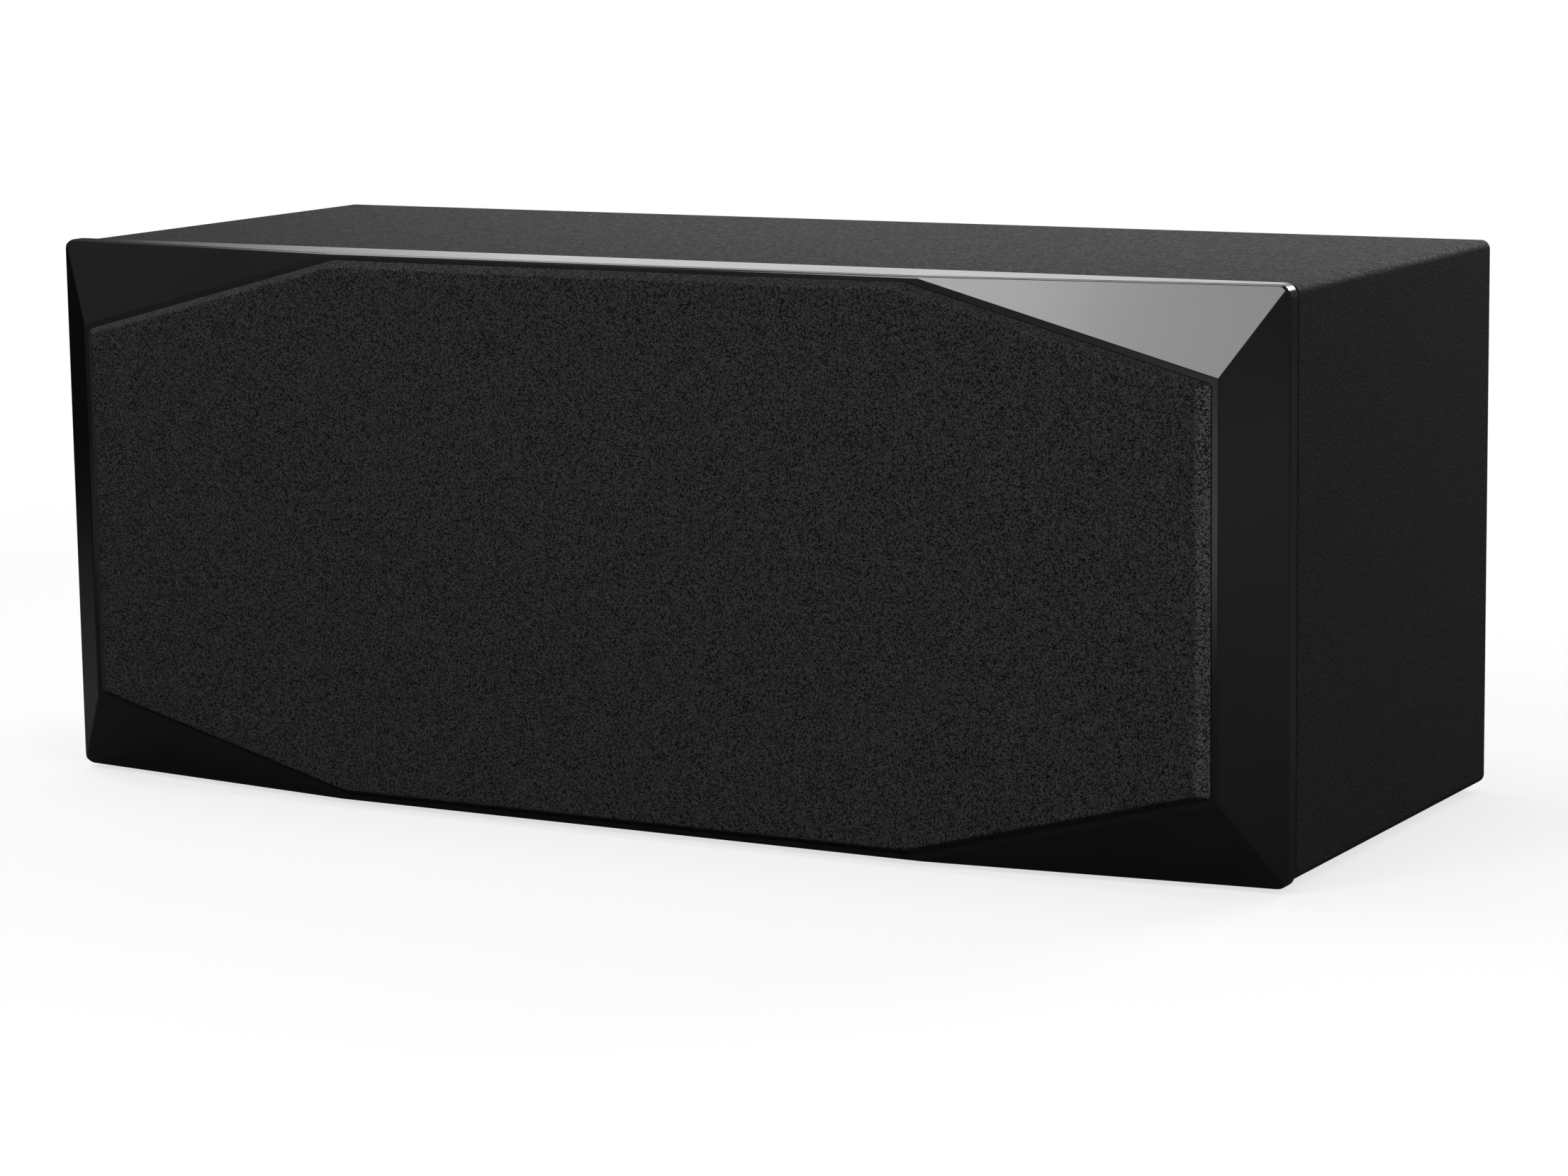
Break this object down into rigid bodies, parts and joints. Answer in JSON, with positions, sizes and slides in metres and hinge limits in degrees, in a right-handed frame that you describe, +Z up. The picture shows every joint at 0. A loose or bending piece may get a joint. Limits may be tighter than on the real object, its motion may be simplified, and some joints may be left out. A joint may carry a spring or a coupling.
{
  "type": "center channel speaker",
  "caption": "Wide sealed box speaker with a faceted octagonal baffle, a pull-off cloth grille, woofers at either side of a folded-film tweeter, and rear screw terminals.",
  "frame": {"origin": "middle of the speaker's outline, on the surface that the feet stand on", "axes": "+X to the listener's right across the width, -Y towards the listener out of the grille, +Z up"},
  "size_m": [0.686, 0.3088, 0.2798],
  "materials": {
    "cabinet_vinyl": "black pebbled vinyl over fibreboard",
    "baffle_lacquer": "black satin lacquer over fibreboard",
    "fibreboard": "bare fibreboard",
    "wadding": "loose white polyester wadding",
    "rubber": "matte black rubber",
    "dark_steel": "black oxide",
    "black_plastic": "moulded, matte",
    "grille_cloth": "plain woven black cloth",
    "cast_aluminium": "black powder coat",
    "film": "thin pleated film with metal traces",
    "ferrite": "bare grey-black ferrite",
    "circuit_board": "green laminate",
    "copper_winding": "enamelled copper wire",
    "capacitor_film": "boxed film capacitor",
    "resistor_ceramic": "cement-filled ceramic",
    "plated_brass": "gold plate",
    "red_plastic": "red moulded",
    "spider_cloth": "resin-dipped cloth",
    "plated_steel": "zinc plate",
    "cone_poly": "mineral-filled polypropylene",
    "coil_former": "aluminium former with a copper winding"
  },
  "bodies": {
    "cabinet": {"cabinet_shell": "cabinet_vinyl", "rear_panel": "cabinet_vinyl", "front_baffle": "baffle_lacquer", "brace_left": "fibreboard", "brace_right": "fibreboard", "wadding_left": "wadding", "wadding_right": "wadding", "rubber_feet": "rubber", "baffle_catches": "dark_steel", "tweeter_faceplate": "cast_aluminium", "tweeter_pole_front": "dark_steel", "tweeter_diaphragm": "film", "tweeter_magnets": "ferrite", "tweeter_pole_rear": "dark_steel", "tweeter_cup": "black_plastic", "crossover_board": "circuit_board", "crossover_coils": "copper_winding", "crossover_capacitors": "capacitor_film", "crossover_resistors": "resistor_ceramic", "terminal_plate": "black_plastic", "terminal_posts": "plated_brass", "terminal_nuts": "plated_brass", "woofer_frame_left": "cast_aluminium", "woofer_surround_left": "rubber", "woofer_spider_left": "spider_cloth", "woofer_top_plate_left": "plated_steel", "woofer_magnet_left": "ferrite", "woofer_yoke_left": "plated_steel", "woofer_frame_right": "cast_aluminium", "woofer_surround_right": "rubber", "woofer_spider_right": "spider_cloth", "woofer_top_plate_right": "plated_steel", "woofer_magnet_right": "ferrite", "woofer_yoke_right": "plated_steel"},
    "grille": {"grille_frame": "black_plastic", "grille_cloth": "grille_cloth", "grille_magnets": "dark_steel"},
    "red_cap": {"red_cap": "red_plastic"},
    "black_cap": {"black_cap": "black_plastic"},
    "cone_left": {"woofer_cone_left": "cone_poly", "woofer_dust_cap_left": "cone_poly", "woofer_voice_coil_left": "coil_former"},
    "cone_right": {"woofer_cone_right": "cone_poly", "woofer_dust_cap_right": "cone_poly", "woofer_voice_coil_right": "coil_former"}
  },
  "joints": [
    {"name": "grille_pull", "type": "slide", "parent": "cabinet", "child": "grille", "axis": [0, -1, 0], "range_m": [0, 0.06]},
    {"name": "cone_travel_left", "type": "slide", "parent": "cabinet", "child": "cone_left", "axis": [0, -1, 0], "range_m": [-0.005, 0.005], "stiffness_N_per_m": 1500, "deforming": ["woofer_surround_left", "woofer_spider_left"]},
    {"name": "cone_travel_right", "type": "slide", "parent": "cabinet", "child": "cone_right", "axis": [0, -1, 0], "range_m": [-0.005, 0.005], "stiffness_N_per_m": 1500, "deforming": ["woofer_surround_right", "woofer_spider_right"]},
    {"name": "red_cap_turn", "type": "hinge", "parent": "cabinet", "child": "red_cap", "pos_m": [-0.00953, 0.14225, 0.082], "axis": [0, 1, 0], "range_deg": [0, 1080]},
    {"name": "black_cap_turn", "type": "hinge", "parent": "cabinet", "child": "black_cap", "pos_m": [0.00953, 0.14225, 0.082], "axis": [0, 1, 0], "range_deg": [0, 1080]}
  ]
}
